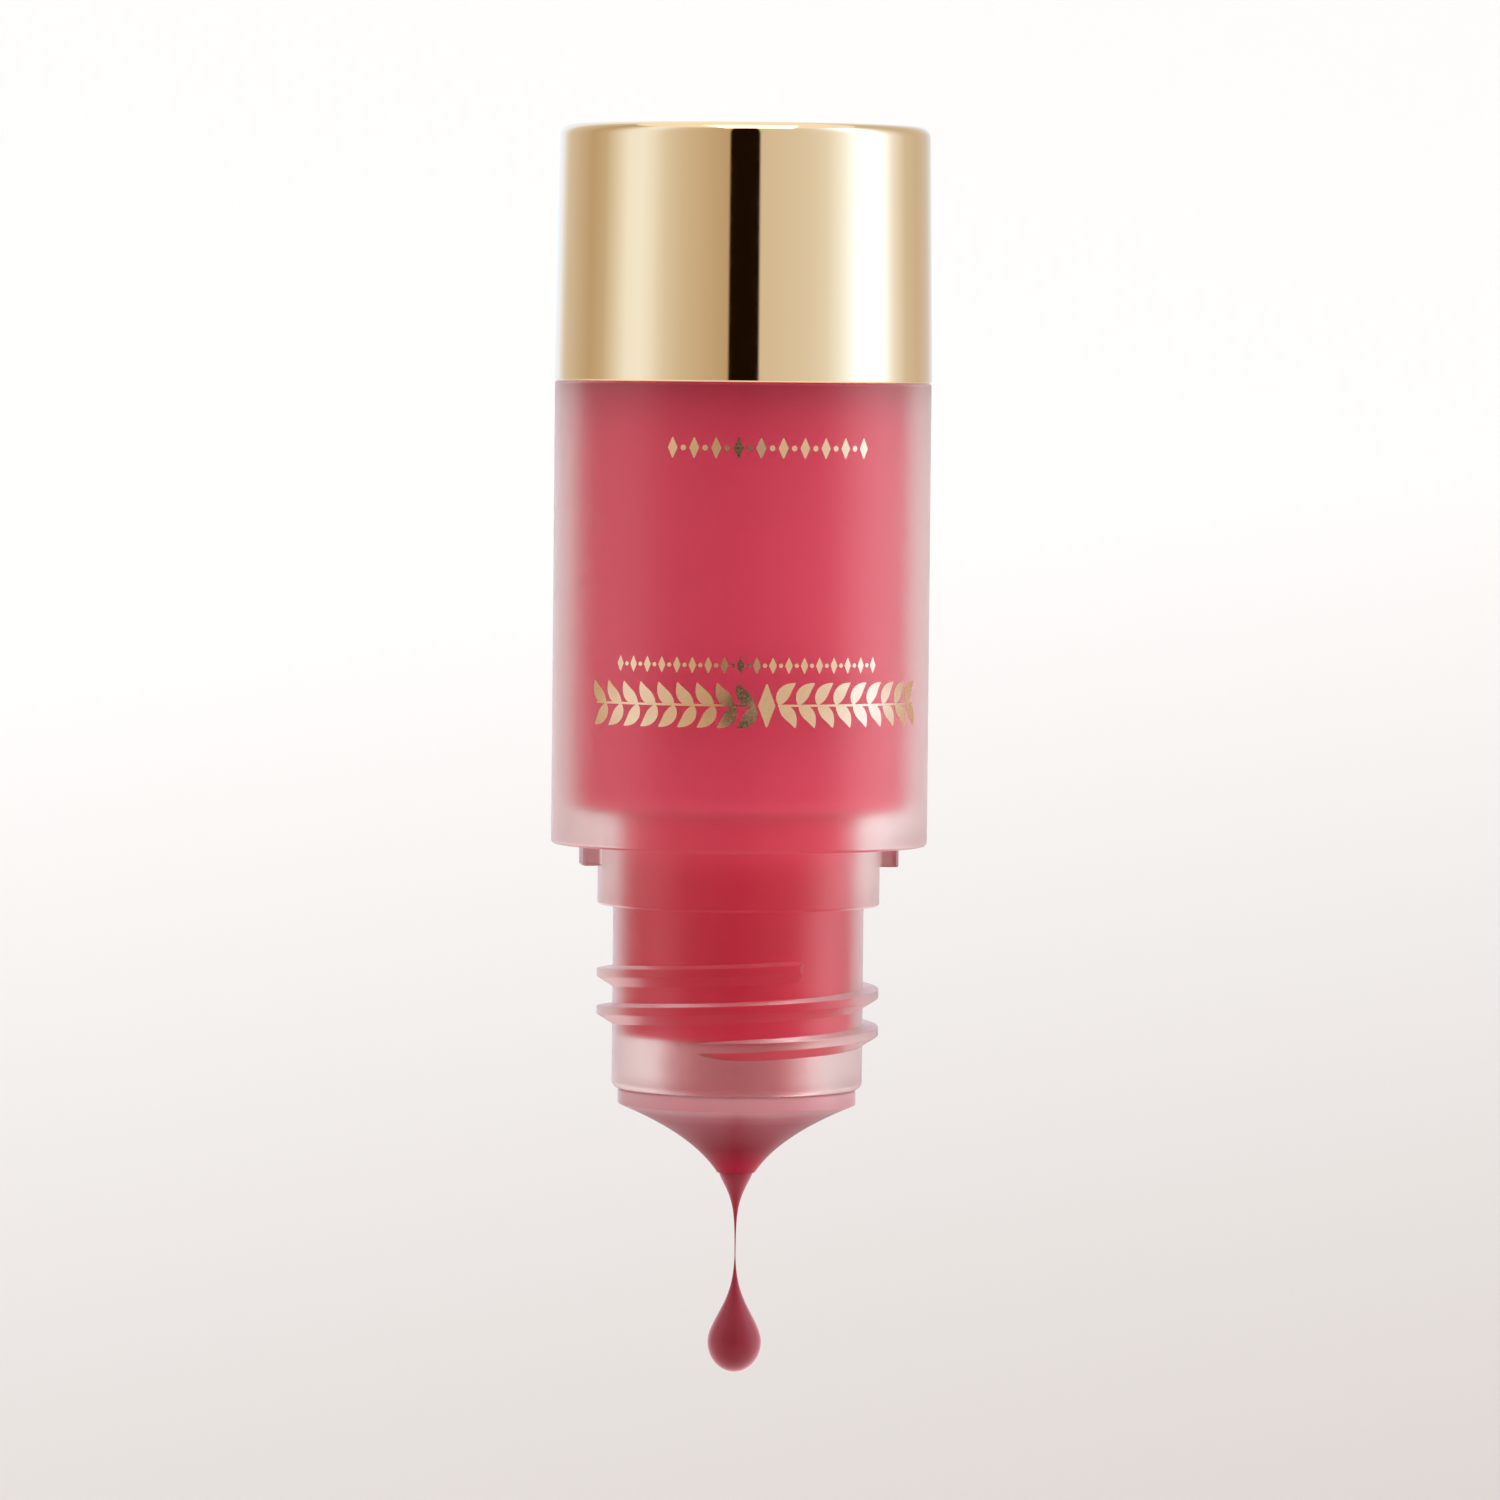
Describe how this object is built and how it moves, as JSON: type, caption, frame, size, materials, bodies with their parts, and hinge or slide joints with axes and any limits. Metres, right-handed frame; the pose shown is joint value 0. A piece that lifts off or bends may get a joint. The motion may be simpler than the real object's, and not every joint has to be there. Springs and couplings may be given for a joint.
{
  "type": "lip gloss bottle",
  "caption": "Frosted cylindrical gloss bottle held neck down, with a mirror gold base shell, threaded neck and a nozzle plug that ends in a falling drop.",
  "frame": {"origin": "centre of the gold base shell's flat end face, which is uppermost because the bottle is held neck down", "axes": "+Z along the bottle's axis, from the neck to the base face; -Y is the printed front"},
  "size_m": [0.024, 0.024, 0.0796],
  "materials": {
    "gold_shell": "moulded plastic with a vacuum-plated mirror gold skin",
    "weight_steel": "plain turned steel",
    "frosted_bottle": "thick clear plastic with a fine frosted outer skin",
    "milky_plug": "natural milky polyethylene",
    "rose_gloss": "thick rose-red liquid gloss",
    "rose_drip": "clear rose-red liquid gloss, wet"
  },
  "bodies": {
    "bottle": {"base_shell": "gold_shell", "base_weight": "weight_steel", "bottle": "frosted_bottle", "gloss_fill": "rose_gloss"},
    "nozzle": {"nozzle_plug": "milky_plug", "gloss_drip": "rose_drip"}
  },
  "joints": [
    {"name": "plug_pull", "type": "slide", "parent": "bottle", "child": "nozzle", "axis": [0, 0, -1], "range_m": [0, 0.012]}
  ]
}
